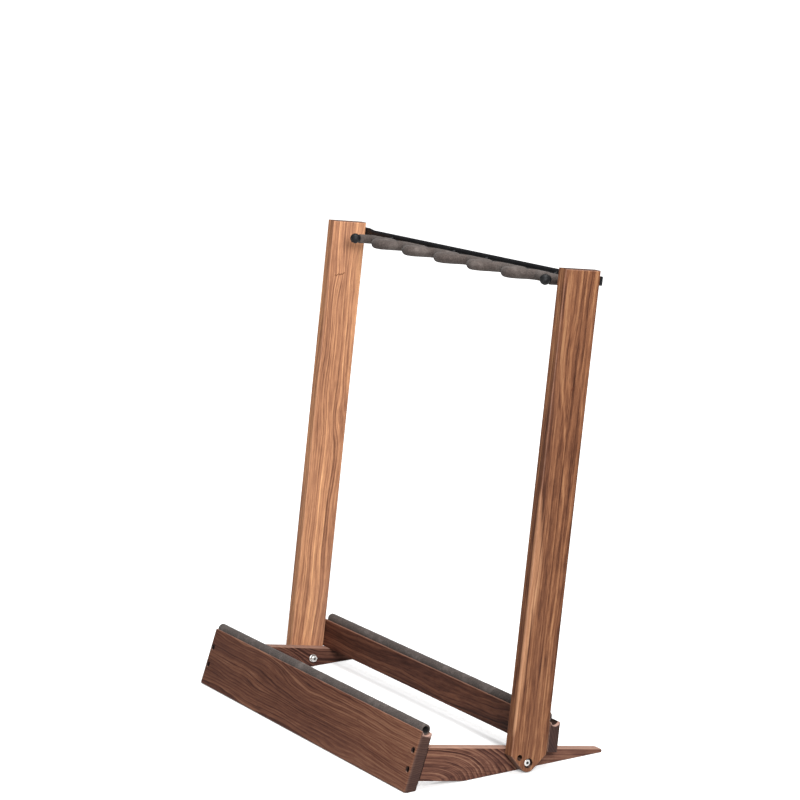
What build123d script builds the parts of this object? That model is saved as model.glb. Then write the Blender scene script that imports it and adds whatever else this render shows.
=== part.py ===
from build123d import *
import math
import os

# Folding guitar rack.
# A low wooden base (front board, rear board, two sloping feet) carries two
# upright posts, one outside each foot.  The posts swing on a bolt through each
# foot.  Opened, their rear edges lie on the front face of the rear board, and
# they lean back a little.  A steel bar ties the posts at the top and carries a
# serpentine steel rod in foam, whose loops part the guitar necks.
#
# Units: mm.  +Z up, X left to right, +Y to the rear.
# Origin: on the floor, at the middle of the footprint box.

# --- driving dimensions -----------------------------------------------------
BOARD_T = 19.05         # thickness of every board
EASE = 2.5              # eased edge radius of the boards
CUT = 2.0               # how far cutting tools run past a face

BASE_HALF = 317.5       # half length of the front board = outer face of feet
FOOT_IN = BASE_HALF - BOARD_T
FOOT_MID = BASE_HALF - BOARD_T / 2
POST_GAP = 0.8          # between foot and post
POST_IN = BASE_HALF + POST_GAP
POST_OUT = POST_IN + BOARD_T
POST_MID = (POST_IN + POST_OUT) / 2

FRONT_LEAN = 19.5       # front board leans back, degrees
FRONT_REF = 17.5        # front face of the front board, ahead of the base's zero line
FRONT_H = 87.1          # top of the front board, up its lean from the zero line
END_EASE = 4.5          # wider rounding down the two ends of its front face

FOOT_TILT = 10.5        # feet run down to the rear, degrees
FOOT_TOP = 64.8         # foot's top edge, measured square to the foot's run
FOOT_BOTTOM = 15.0      # foot's lower edge at its front part
FOOT_END = 328.0        # nose of the foot, along Y from the zero line
NOSE_R = 2.2
KNEE_R = 45.0           # where the foot's lower edge meets the floor
FOOT_EASE = 2.0
FOOT_FIT = 0.03         # glue line to the front board

POST_LEAN = 7.3         # opened posts lean back, degrees
POST_Y = 148.29         # where the post's front edge line meets the floor
POST_W = 62.0           # width of the post, front to rear
POST_TOP = 743.0        # top of the post, along it from the floor
PIVOT_ALONG = 19.15
PIVOT_ACROSS = 31.2
TIP_R = 14.0            # rounded lower tip of the post, round the pivot

REAR_TOP = 79.35        # top of the rear board, along the post's direction
STOP_GAP = 0.2          # rear edge of post to rear board, opened
REAR_SEAT = 0.03        # rear board above the feet
REAR_FRONT = POST_W + STOP_GAP      # front and rear faces, across the post
REAR_BACK = REAR_FRONT + BOARD_T
REAR_MID = REAR_FRONT + BOARD_T / 2

LOCK_ALONG = 28.2       # lock pin hole
LOCK_ACROSS = 14.7
LOCK_R = 4.5
LOCK_DEPTH = 12.0       # into the foot


# --- frames: points are (y, z) in the side view, y from the base's zero line ---
def turn(run, rise, degrees):
    """Turn a side-view point so that its run tips down to the rear."""
    angle = math.radians(degrees)
    return (run * math.cos(angle) + rise * math.sin(angle),
            -run * math.sin(angle) + rise * math.cos(angle))


def front_point(depth, height):
    """Front board: depth from its front face, height up it."""
    return turn(depth - FRONT_REF, height, FRONT_LEAN)


def front_floor(depth):
    """Height on the front board at which the floor cuts it."""
    return (depth - FRONT_REF) * math.tan(math.radians(FRONT_LEAN))


def foot_point(run, height):
    """Foot: run to the rear, height square to it."""
    return turn(run, height, FOOT_TILT)


def post_point(along, across):
    """Post: along it from the floor, across it to the rear."""
    y, z = turn(across, along, POST_LEAN)
    return (y + POST_Y, z)


FRONT_REARWARD = turn(1, 0, FRONT_LEAN)
FRONT_UP = turn(0, 1, FRONT_LEAN)
FOOT_RUN = turn(1, 0, FOOT_TILT)
POST_REARWARD = turn(1, 0, POST_LEAN)
POST_UP = turn(0, 1, POST_LEAN)

# the eased lower front edge starts a little behind the sharp corner
FRONT_Y = (front_point(0, front_floor(0))[0]
           + EASE * (1 / math.tan(math.radians((90 - FRONT_LEAN) / 2)) - 1))
Y_MID = (FRONT_Y + FOOT_END) / 2      # middle of the footprint box

PIVOT = post_point(PIVOT_ALONG, PIVOT_ACROSS)
LOCK = post_point(LOCK_ALONG, LOCK_ACROSS)


def centred(point):
    return (point[0] - Y_MID, point[1])


def world(x, point):
    return Vector(x, *centred(point))


def frame(x, point, direction):
    """Plane at a side-view point, facing a side-view direction."""
    return Plane(origin=world(x, point), x_dir=(1, 0, 0), z_dir=Vector(0, *direction))


def crossing(start_a, dir_a, start_b, dir_b):
    """Crossing of two side-view lines, each a start and a direction."""
    det = dir_a[1] * dir_b[0] - dir_a[0] * dir_b[1]
    dy = start_b[0] - start_a[0]
    dz = start_b[1] - start_a[1]
    reach = (dz * dir_b[0] - dy * dir_b[1]) / det
    return (start_a[0] + reach * dir_a[0], start_a[1] + reach * dir_a[1])


# --- shared shapes ------------------------------------------------------------
ON_BASE = (Align.CENTER, Align.CENTER, Align.MIN)


def outline(points):
    return Polygon(*[centred(point) for point in points], align=None)


def slab(face, x0, x1):
    """Side-view face extruded from x0 to x1."""
    return extrude(Plane.YZ.offset(x0) * face, amount=x1 - x0, dir=(1, 0, 0))


def x_rod(point, radius, x0, x1):
    """Round bar along X through a side-view point."""
    y, z = centred(point)
    return Pos((x0 + x1) / 2, y, z) * Rot(0, 90, 0) * Cylinder(radius, abs(x1 - x0))


def upright(radius, height, z=0.0):
    """Cylinder along local Z with its base at z."""
    return Pos(0, 0, z) * Cylinder(radius, height, align=ON_BASE)


def domed_head(radius, height, ease):
    head = Cylinder(radius, height, align=ON_BASE)
    return fillet(head.edges().sort_by(Axis.Z)[-1], ease)


def cross_recess(width, depth):
    return Box(width, 0.9, depth, align=ON_BASE) + Box(0.9, width, depth, align=ON_BASE)


def flat_in_x(edge):
    return edge.bounding_box().size.X < 1e-3


def save(name, *shapes):
    """Write all the solids of the shapes as one STEP file."""
    solids = [solid for shape in shapes for solid in shape.solids()]
    out = solids[0] if len(solids) == 1 else Compound(children=solids)
    out.label = name
    export_step(out, f"parts/{name}.step")


os.makedirs("parts", exist_ok=True)

# --- countersunk wood screws of the base -----------------------------------------
SINK_H = 3.4            # height of the conical head
POINT_H = 5.0
POINT_R = 0.4
SCREW_R = 2.1
SCREW_CLEAR = 0.1       # radial clearance of the screw holes
TIP_CLEAR = 0.4         # hole beyond the screw's tip

FRONT_HEAD_R = 4.6
FRONT_SCREW_L = 41.0
FRONT_SCREW_HEIGHTS = (27.8, 56.5)      # up the front board
FRONT_RECESS = 3.0      # screw heads sit below the front face

REAR_HEAD_R = 4.4
REAR_SCREW_L = 45.0
REAR_SCREW_ALONG = 17.0
REAR_ACCESS = 20.0      # open bore below the screw head


def countersunk(head_r, length):
    """Screw with its head face at z=0, running to +z."""
    head = Cone(head_r, SCREW_R, SINK_H, align=ON_BASE)
    shank = upright(SCREW_R, length - SINK_H - POINT_H, SINK_H)
    tip = Pos(0, 0, length - POINT_H) * Cone(SCREW_R, POINT_R, POINT_H, align=ON_BASE)
    screw = head + shank + tip
    return screw - Pos(0, 0, -0.1) * cross_recess(3.8, 2.2)


def screw_hole(head_r, length, access):
    """Clearance for a countersunk screw, with an access bore behind its head."""
    head_r = head_r + SCREW_CLEAR
    hole_r = SCREW_R + SCREW_CLEAR
    shank_z = SINK_H - 0.1
    return (upright(head_r, access, -access)
            + Cone(head_r, hole_r, SINK_H, align=ON_BASE)
            + upright(hole_r, length + TIP_CLEAR - shank_z, shank_z))


front_frames = [frame(x, front_point(FRONT_RECESS, height), FRONT_REARWARD)
                for x in (-FOOT_MID, FOOT_MID) for height in FRONT_SCREW_HEIGHTS]
# the rear board's screws come up through the feet
rear_frames = [frame(x, post_point(REAR_SCREW_ALONG, REAR_MID), POST_UP)
               for x in (-FOOT_MID, FOOT_MID)]

front_holes = [place.location * screw_hole(FRONT_HEAD_R, FRONT_SCREW_L, FRONT_RECESS + 3)
               for place in front_frames]
rear_holes = [place.location * screw_hole(REAR_HEAD_R, REAR_SCREW_L, REAR_ACCESS)
              for place in rear_frames]

save("front_board_screws", *[place.location * countersunk(FRONT_HEAD_R, FRONT_SCREW_L)
                             for place in front_frames])
save("rear_board_screws", *[place.location * countersunk(REAR_HEAD_R, REAR_SCREW_L)
                            for place in rear_frames])

# --- foam tubes on the two boards --------------------------------------------------
PAD_R = 8.0
PAD_BORE = 5.0          # bore radius
PAD_RISE = 2.2          # tube centre above the board's top edge
FRONT_PAD_SHIFT = 0.4   # front tube's centre ahead of the board's middle
GROOVE_R = 8.15
FRONT_PAD_HALF = 311.0  # the tubes stop short of the ends of their grooves
REAR_PAD_HALF = 316.5

FRONT_PAD = front_point(BOARD_T / 2 - FRONT_PAD_SHIFT, FRONT_H + PAD_RISE)
REAR_PAD = post_point(REAR_TOP + PAD_RISE, REAR_MID)


def pad_groove(centre, board_half):
    return x_rod(centre, GROOVE_R, -board_half - CUT, board_half + CUT)


def rest_pad(centre, pad_half, board_half):
    return (x_rod(centre, PAD_R, -pad_half, pad_half)
            - x_rod(centre, PAD_BORE, -board_half, board_half))


save("front_rest_pad", rest_pad(FRONT_PAD, FRONT_PAD_HALF, BASE_HALF))
save("rear_rest_pad", rest_pad(REAR_PAD, REAR_PAD_HALF, POST_OUT))


# --- front board --------------------------------------------------------------
def upright_edge_at(edge, x):
    """True for an edge running up the board at distance x from the middle."""
    return abs(abs(edge.center().X) - x) < 0.01 and edge.bounding_box().size.Z > 40


def front_board():
    board = slab(outline([front_point(0, front_floor(0)),
                          front_point(BOARD_T, front_floor(BOARD_T)),
                          front_point(BOARD_T, FRONT_H),
                          front_point(0, FRONT_H)]), -BASE_HALF, BASE_HALF)
    middle_y = centred(front_point(BOARD_T / 2, FRONT_H / 2))[0]
    board = fillet([edge for edge in board.edges()
                    if upright_edge_at(edge, BASE_HALF) and edge.center().Y < middle_y],
                   END_EASE)
    # the inner borders of the end roundings are already smooth
    board = fillet([edge for edge in board.edges()
                    if not upright_edge_at(edge, BASE_HALF - END_EASE)], EASE)
    board -= pad_groove(FRONT_PAD, BASE_HALF)
    for hole in front_holes:
        board -= hole
    return board


save("front_board", front_board())

# --- pivot bolt sizes ------------------------------------------------------------
BOLT_R = 3.0
BOLT_HOLE_R = 3.05
BOLT_HEAD_R = 6.2
BOLT_HEAD_H = 3.6
SOCKET_R = 2.3          # hexagon socket, to its corners
SOCKET_DEPTH = 2.4
COUNTERBORE_R = 7.5     # the bolt head sits in a counterbore in the post
COUNTERBORE_DEPTH = 6.1
NUT_H = 5.0
NUT_FLATS = 10.0
WASHER_T = 1.2
SEAT_GAP = 0.02         # between touching pieces of hardware


# --- feet ---------------------------------------------------------------------
def foot(side):
    board_back = front_point(BOARD_T, 0)
    lower_y, lower_z = crossing(foot_point(0, FOOT_BOTTOM), FOOT_RUN, board_back, FRONT_UP)
    upper_y, upper_z = crossing(foot_point(0, FOOT_TOP), FOOT_RUN, board_back, FRONT_UP)
    lower_y += FOOT_FIT
    upper_y += FOOT_FIT
    knee = crossing(foot_point(0, FOOT_BOTTOM), FOOT_RUN, (0, 0), (1, 0))
    nose_top = crossing(foot_point(0, FOOT_TOP), FOOT_RUN, (FOOT_END, 0), (0, 1))

    # in the flat outline X runs to the rear and Y up
    face = outline([(lower_y, lower_z), (upper_y, upper_z), nose_top, (FOOT_END, 0), knee])
    face = fillet([vertex for vertex in face.vertices()
                   if vertex.X > FOOT_END - Y_MID - 1], NOSE_R)
    face = fillet([vertex for vertex in face.vertices()
                   if abs(vertex.X - centred(knee)[0]) < 0.5 and vertex.Y < 0.5], KNEE_R)

    def at_front_joint(edge):
        centre = edge.center()
        return (abs(centre.Y - (lower_y + upper_y) / 2 + Y_MID) < 3
                and lower_z + 3 < centre.Z < upper_z - 3)

    x0 = FOOT_IN if side > 0 else -BASE_HALF
    body = slab(face, x0, x0 + BOARD_T)
    body = fillet([edge for edge in body.edges()
                   if flat_in_x(edge) and not at_front_joint(edge)], FOOT_EASE)
    body -= x_rod(PIVOT, BOLT_HOLE_R, side * (FOOT_IN - CUT), side * (BASE_HALF + CUT))
    body -= x_rod(LOCK, LOCK_R, side * (BASE_HALF - LOCK_DEPTH), side * (BASE_HALF + CUT))
    for hole in front_holes + rear_holes:
        body -= hole
    return body


save("left_foot", foot(-1))
save("right_foot", foot(1))


# --- rear board ---------------------------------------------------------------
def rear_board():
    seat = foot_point(0, FOOT_TOP + REAR_SEAT)
    front_bottom = crossing(post_point(0, REAR_FRONT), POST_UP, seat, FOOT_RUN)
    back_bottom = crossing(post_point(0, REAR_BACK), POST_UP, seat, FOOT_RUN)
    board = slab(outline([front_bottom, post_point(REAR_TOP, REAR_FRONT),
                          post_point(REAR_TOP, REAR_BACK), back_bottom]),
                 -POST_OUT, POST_OUT)
    # the edges resting on the feet stay sharp
    board = fillet([edge for edge in board.edges()
                    if edge.center().Z > front_bottom[1] + 3], EASE)
    board -= pad_groove(REAR_PAD, POST_OUT)
    for hole in rear_holes:
        board -= hole
    return board


save("rear_board", rear_board())

# --- posts ----------------------------------------------------------------------
BAR_ALONG = 728.15      # neck crossbar, along the post
TAB_SCREW_R = 1.9       # screw through each flattened end of the crossbar
TAB_HOLE_DEPTH = 31.0   # its hole, below a start 1 mm behind the post


def tab_frame(side, across):
    return frame(side * POST_MID, post_point(BAR_ALONG, across), POST_REARWARD)


def post_outline():
    # two 45 degree cuts run up from the rounded tip; the front one reaches the
    # edge at corner_along, and the rear one is taken to the same place
    corner_along = PIVOT_ALONG - TIP_R * math.sqrt(2) + PIVOT_ACROSS
    tangent = TIP_R / math.sqrt(2)
    tip_front, tip_low, tip_rear, corner_front, corner_rear, top_front, top_rear = [
        centred(post_point(along, across)) for along, across in (
            (PIVOT_ALONG - tangent, PIVOT_ACROSS - tangent),
            (PIVOT_ALONG - TIP_R, PIVOT_ACROSS),
            (PIVOT_ALONG - tangent, PIVOT_ACROSS + tangent),
            (corner_along, 0),
            (corner_along, POST_W),
            (POST_TOP, 0),
            (POST_TOP, POST_W))]
    with BuildSketch() as sketch:
        with BuildLine():
            Line(corner_front, tip_front)
            ThreePointArc(tip_front, tip_low, tip_rear)
            Line(tip_rear, corner_rear)
            Line(corner_rear, top_rear)
            Line(top_rear, top_front)
            Line(top_front, corner_front)
        make_face()
    return sketch.sketch


def post(side):
    x0 = POST_IN if side > 0 else -POST_OUT
    body = slab(post_outline(), x0, x0 + BOARD_T)
    body = fillet([edge for edge in body.edges() if flat_in_x(edge)], EASE)
    outside = side * (POST_OUT + CUT)
    body -= x_rod(PIVOT, BOLT_HOLE_R, side * (POST_IN - CUT), outside)
    body -= x_rod(LOCK, LOCK_R, side * (POST_IN - CUT), outside)
    body -= x_rod(PIVOT, COUNTERBORE_R, side * (POST_OUT - COUNTERBORE_DEPTH), outside)
    hole = upright(TAB_SCREW_R + 0.1, TAB_HOLE_DEPTH + 1, -TAB_HOLE_DEPTH)
    body -= tab_frame(side, POST_W + 1).location * hole
    return body


save("left_post", post(-1))
save("right_post", post(1))


# --- pivot hardware ---------------------------------------------------------------
def pivot_frame(x, facing):
    """Frame on the pivot axis, facing +X or -X."""
    return Plane(origin=world(x, PIVOT), x_dir=(0, 1, 0), z_dir=(facing, 0, 0))


def pivot_bolt(side):
    head_x = side * (POST_OUT - COUNTERBORE_DEPTH + SEAT_GAP)
    end_x = side * (FOOT_IN - WASHER_T - NUT_H - 1.5)
    head = domed_head(BOLT_HEAD_R, BOLT_HEAD_H, 2.2)
    socket = extrude(RegularPolygon(SOCKET_R, 6), amount=3)
    head -= Pos(0, 0, BOLT_HEAD_H - SOCKET_DEPTH) * socket
    return pivot_frame(head_x, side).location * head + x_rod(PIVOT, BOLT_R, head_x, end_x)


def washer(side, radius, x_in, x_out):
    return (x_rod(PIVOT, radius, side * x_in, side * x_out)
            - x_rod(PIVOT, BOLT_R + 0.1, side * (x_in - 1), side * (x_out + 1)))


def lock_nut(side):
    body = extrude(RegularPolygon(NUT_FLATS / math.sqrt(3), 6), amount=NUT_H)
    collar = upright(4.1, 1.0, NUT_H)
    nut = (body + collar) - upright(BOLT_R + 0.02, 12, -1)
    return pivot_frame(side * (FOOT_IN - WASHER_T - SEAT_GAP), -side).location * nut


save("left_pivot_bolt", pivot_bolt(-1))
save("right_pivot_bolt", pivot_bolt(1))
save("pivot_spacer_washers", *[
    washer(side, 8.0, BASE_HALF + SEAT_GAP, POST_IN - SEAT_GAP) for side in (-1, 1)])
save("pivot_steel_washers", *[
    washer(side, 6.25, FOOT_IN - WASHER_T, FOOT_IN - SEAT_GAP) for side in (-1, 1)])
save("pivot_lock_nuts", *[lock_nut(side) for side in (-1, 1)])

# --- neck crossbar ------------------------------------------------------------------
# a round rod whose ends are pressed flat and screwed to the rear edges of the posts
BAR_R = 4.75
TAB_T = 4.5             # flattened ends
TAB_H = 13.5
TAB_CORNER_R = 1.4
TAB_FRONT = POST_W + 0.15
BAR_ACROSS = TAB_FRONT + TAB_T / 2
BAR_AXIS = post_point(BAR_ALONG, BAR_ACROSS)
ROUND_END = 296.0       # the round part ends here, the flat starts further out
FLAT_START = 312.0
TAB_END = POST_OUT - 0.8


def bar_section(x):
    """Section plane at x; local x runs across the post to the rear."""
    return Plane(origin=world(x, BAR_AXIS), x_dir=Vector(0, *POST_REARWARD),
                 z_dir=(1, 0, 0))


def neck_crossbar():
    bar = x_rod(BAR_AXIS, BAR_R, -ROUND_END, ROUND_END)
    for side in (-1, 1):
        circle = bar_section(side * ROUND_END) * Circle(BAR_R)
        flat = bar_section(side * FLAT_START) * RectangleRounded(TAB_T, TAB_H, TAB_CORNER_R)
        bar += loft([circle, flat])
        bar += extrude(flat, amount=side * (TAB_END - FLAT_START))
        bar -= tab_frame(side, TAB_FRONT - 1).location * upright(TAB_SCREW_R + 0.2, 10)
    return bar


def tab_screw(side):
    """Screw with the underside of its head at z=0, running to -z."""
    head = domed_head(4.1, 2.6, 1.5)
    shank = upright(TAB_SCREW_R, 24, -24)
    tip = Pos(0, 0, -24 - POINT_H) * Cone(POINT_R, TAB_SCREW_R, POINT_H, align=ON_BASE)
    screw = (head + shank + tip) - Pos(0, 0, 1.0) * cross_recess(4, 2)
    return tab_frame(side, TAB_FRONT + TAB_T + SEAT_GAP).location * screw


save("neck_crossbar", neck_crossbar())
save("crossbar_screws", tab_screw(-1), tab_screw(1))

# --- yoke: serpentine rod, studs, foam sleeves, balls ---------------------------------
ROD_R = 4.0
FOAM_R = 7.75
END_FOAM_R = FOAM_R - 0.6
FOAM_BORE = 4.12        # bore radius
YOKE_ALONG = 719.95
PITCH = 92.4            # loop to loop
LEG_HALF = 23.0 / 2     # half the spacing of the two legs of a loop
BEND_R = 11.0           # centre line bend radius
YOKE_FRONT = 4.2        # foremost centre line, across the post
YOKE_REAR = 45.7        # rearmost centre line
END_X = 269.5           # outermost legs
END_ACROSS = 13.7       # centre of the ball on the outermost legs
BALL_R = 8.0
STUD_R = 3.0
BUTT = 0.15             # each sleeve's end to the joint between sleeves
LOOPS = range(-2, 3)
STUD_X = [step * PITCH for step in (-2.5, -0.5, 0.5, 2.5)]      # at sleeve joints

# local x = X and local y = across the post to the rear
yoke_plane = frame(0, post_point(YOKE_ALONG, 0), POST_UP)


def yoke_point(x, across):
    return yoke_plane.from_local_coords(Vector(x, across, 0))


def tube(points, radius, bore=None):
    """Round section swept along (x, across) points with bent corners."""
    line = FilletPolyline(*[yoke_point(*point) for point in points], radius=BEND_R)
    start = Plane(origin=line @ 0, z_dir=line % 0)
    section = Circle(radius) - Circle(bore) if bore else Circle(radius)
    return sweep(start * section, path=line)


def loop_points(centre_x):
    """The corners of one forward loop, left to right."""
    return [(centre_x - LEG_HALF, YOKE_REAR), (centre_x - LEG_HALF, YOKE_FRONT),
            (centre_x + LEG_HALF, YOKE_FRONT), (centre_x + LEG_HALF, YOKE_REAR)]


def stud(x, radius):
    """Straight pin from the rod's centre line to the crossbar's."""
    start = world(x, post_point(YOKE_ALONG, YOKE_REAR))
    reach = world(x, BAR_AXIS) - start
    place = Plane(origin=start, x_dir=(1, 0, 0), z_dir=reach)
    return place.location * upright(radius, reach.length)


rod_points = [(-END_X, END_ACROSS), (-END_X, YOKE_REAR)]
for i in LOOPS:
    rod_points += loop_points(i * PITCH)
rod_points += [(END_X, YOKE_REAR), (END_X, END_ACROSS)]
save("neck_yoke_rod", tube(rod_points, ROD_R))

# the studs are trimmed to the bar and the rod; the longest remnant is the stud
bar_cutter = x_rod(BAR_AXIS, BAR_R + 0.01, -ROUND_END, ROUND_END)
rod_cutter = tube(rod_points, ROD_R + 0.01)
save("yoke_studs", *[
    max((stud(x, STUD_R) - bar_cutter - rod_cutter).solids(), key=lambda solid: solid.volume)
    for x in STUD_X])

stud_holes = [stud(x, STUD_R + 0.25) for x in STUD_X]


def finger_sleeve(centre_x):
    reach = PITCH / 2 - BUTT
    sleeve = tube([(centre_x - reach, YOKE_REAR), *loop_points(centre_x),
                   (centre_x + reach, YOKE_REAR)], FOAM_R, FOAM_BORE)
    for hole in stud_holes:
        sleeve -= hole
    return sleeve


def end_sleeve(side):
    sleeve = tube([(side * (2.5 * PITCH + BUTT), YOKE_REAR), (side * END_X, YOKE_REAR),
                   (side * END_X, END_ACROSS + BALL_R - 1.0)], END_FOAM_R, FOAM_BORE)
    sleeve -= Location(yoke_point(side * END_X, END_ACROSS)) * Sphere(BALL_R + 0.15)
    for hole in stud_holes:
        sleeve -= hole
    return sleeve


def ball_cap(side):
    """Ball bored from its middle to the rear for the end of the rod."""
    ball = Location(yoke_point(side * END_X, END_ACROSS)) * Sphere(BALL_R)
    bore = Plane(origin=yoke_point(side * END_X, END_ACROSS - 0.02), x_dir=(1, 0, 0),
                 z_dir=Vector(0, *POST_REARWARD))
    return ball - bore.location * upright(ROD_R + 0.03, 20)


for number, i in enumerate(LOOPS, start=1):
    save(f"finger_sleeve_{number}", finger_sleeve(i * PITCH))
for side, name in ((-1, "left"), (1, "right")):
    save(f"{name}_end_sleeve", end_sleeve(side))
    save(f"{name}_ball_cap", ball_cap(side))
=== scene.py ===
# A walnut stand: a low base of two boards on two feet, and an upright of two leaning posts
# that carries a foam-sleeved neck yoke. Metres: X across the stand, the front board toward
# -Y, Z up, the floor just under z = 0. The design is centred on X = 0 and shifted by Y_MID.
import math

import bmesh
import bpy
import numpy as np
from mathutils import Matrix, Vector, noise


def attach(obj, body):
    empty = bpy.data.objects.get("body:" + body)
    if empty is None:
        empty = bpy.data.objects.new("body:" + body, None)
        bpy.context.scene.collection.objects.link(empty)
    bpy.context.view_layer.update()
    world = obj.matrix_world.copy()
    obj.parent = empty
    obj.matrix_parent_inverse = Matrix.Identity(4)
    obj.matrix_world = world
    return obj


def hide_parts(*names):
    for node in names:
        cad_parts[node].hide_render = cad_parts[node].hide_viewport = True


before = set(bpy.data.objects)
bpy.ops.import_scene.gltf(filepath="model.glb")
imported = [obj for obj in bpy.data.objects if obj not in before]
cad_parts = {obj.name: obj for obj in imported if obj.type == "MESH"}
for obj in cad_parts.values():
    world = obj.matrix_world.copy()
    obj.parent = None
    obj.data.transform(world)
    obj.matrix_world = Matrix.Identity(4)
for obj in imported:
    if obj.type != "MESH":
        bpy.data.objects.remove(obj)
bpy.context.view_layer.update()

# ---------------------------------------------------------------------------
# driving dimensions
# ---------------------------------------------------------------------------
MM = 0.001
THICK = 19.05 * MM                  # every board
HALF_THICK = THICK / 2
BASE_HALF = 317.5 * MM              # half the width of the base
POST_IN = BASE_HALF + 0.8 * MM      # inner and outer faces of the posts
POST_OUT = POST_IN + THICK
POST_Y = 148.29 * MM
FRONT_LEAN = math.radians(19.5)
FOOT_TILT = math.radians(10.5)
POST_LEAN = math.radians(7.3)
FRONT_REF = 17.5 * MM               # depth in the front board's frame that lies on its origin
FRONT_H = 87.1 * MM
EASE = 2.5 * MM                     # radius of the eased edges
FRONT_Y = (-FRONT_REF / math.cos(FRONT_LEAN)
           + EASE * (1 / math.tan((math.pi / 2 - FRONT_LEAN) / 2) - 1))
REAR_Y = 328.0 * MM
Y_MID = (FRONT_Y + REAR_Y) / 2
REAR_TOP, REAR_BACK = 79.35 * MM, 62.2 * MM + HALF_THICK
REAR_MID = 57 * MM                  # origin of the rear board's grain, up the post
FOOT_MID_BACK, FOOT_MID_UP = 0.15, 0.04
POST_MID_BACK, POST_MID_UP = 31 * MM, 0.37

# holes through the posts, and screw holes in the front board
PIVOT_UP, PIVOT_BACK, PIVOT_R = 19.15 * MM, 31.2 * MM, 7.5 * MM
LOCK_UP, LOCK_BACK, LOCK_R = 28.2 * MM, 14.7 * MM, 4.5 * MM
SCREW_UPS, SCREW_R = (27.8 * MM, 56.5 * MM), 4.7 * MM

# foam pads in the grooves along the two base boards
PAD_R, PAD_BORE, PAD_RISE = 8.0 * MM, 5.0 * MM, 2.2 * MM
PAD_FORWARD = 0.4 * MM              # front pad ahead of the board's middle
FRONT_PAD_HALF, REAR_PAD_HALF = 311.0 * MM, 316.5 * MM
GROOVE_R = 8.15 * MM

# yoke: a rod bent into five fingers, sleeved in foam, with a ball at each end
FOAM_R, FOAM_BORE = 7.75 * MM, 4.12 * MM
END_FOAM_R = FOAM_R - 0.6 * MM
YOKE_UP, YOKE_FRONT, YOKE_REAR = 719.95 * MM, 4.2 * MM, 45.7 * MM
PITCH, LEG, BEND = 92.4 * MM, 23.0 * MM, 11.0 * MM
SLEEVE_GAP = 0.15 * MM              # each sleeve stops this far short of its joint
END_X, END_BACK, BALL_R = 269.5 * MM, 13.7 * MM, 8.0 * MM
BALL_OVERLAP = 0.8 * MM
BEND_STEP, PAD_STEP = 1.1 * MM, 2.2 * MM    # ring spacing along the tubes


class TiltedFrame:
    """Axes turned about X: `back` runs rearward and down, `up` runs up and rearward."""

    def __init__(self, tilt, y_origin=0.0, back_origin=0.0):
        self.cos, self.sin = math.cos(tilt), math.sin(tilt)
        self.y_origin, self.back_origin = y_origin, back_origin
        self.back = Vector((0, self.cos, -self.sin))
        self.up = Vector((0, self.sin, self.cos))

    def at(self, x, back, up):
        back -= self.back_origin
        return Vector((x, self.y_origin + back * self.cos + up * self.sin - Y_MID,
                       -back * self.sin + up * self.cos))


X_AXIS = Vector((1, 0, 0))
FRONT = TiltedFrame(FRONT_LEAN, back_origin=FRONT_REF)
FOOT = TiltedFrame(FOOT_TILT)
POST = TiltedFrame(POST_LEAN, y_origin=POST_Y)
PIVOT = POST.at(0, PIVOT_BACK, PIVOT_UP)
FRONT_PAD = FRONT.at(0, HALF_THICK - PAD_FORWARD, FRONT_H + PAD_RISE)
REAR_PAD = POST.at(0, REAR_BACK, REAR_TOP + PAD_RISE)


# ---------------------------------------------------------------------------
# shader node helpers
# ---------------------------------------------------------------------------
class Value:
    """An output socket; arithmetic on it adds Math nodes."""

    def __init__(self, net, socket):
        self.net, self.socket = net, socket

    def __add__(self, other):
        return self.net.math("ADD", self, other)

    def __radd__(self, other):
        return self.net.math("ADD", other, self)

    def __sub__(self, other):
        return self.net.math("SUBTRACT", self, other)

    def __rsub__(self, other):
        return self.net.math("SUBTRACT", other, self)

    def __mul__(self, other):
        return self.net.math("MULTIPLY", self, other)

    def __truediv__(self, other):
        return self.net.math("DIVIDE", self, other)


def centred(fac, span):
    """A 0..1 value moved to -span/2..span/2."""
    return (fac - 0.5) * span


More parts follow.
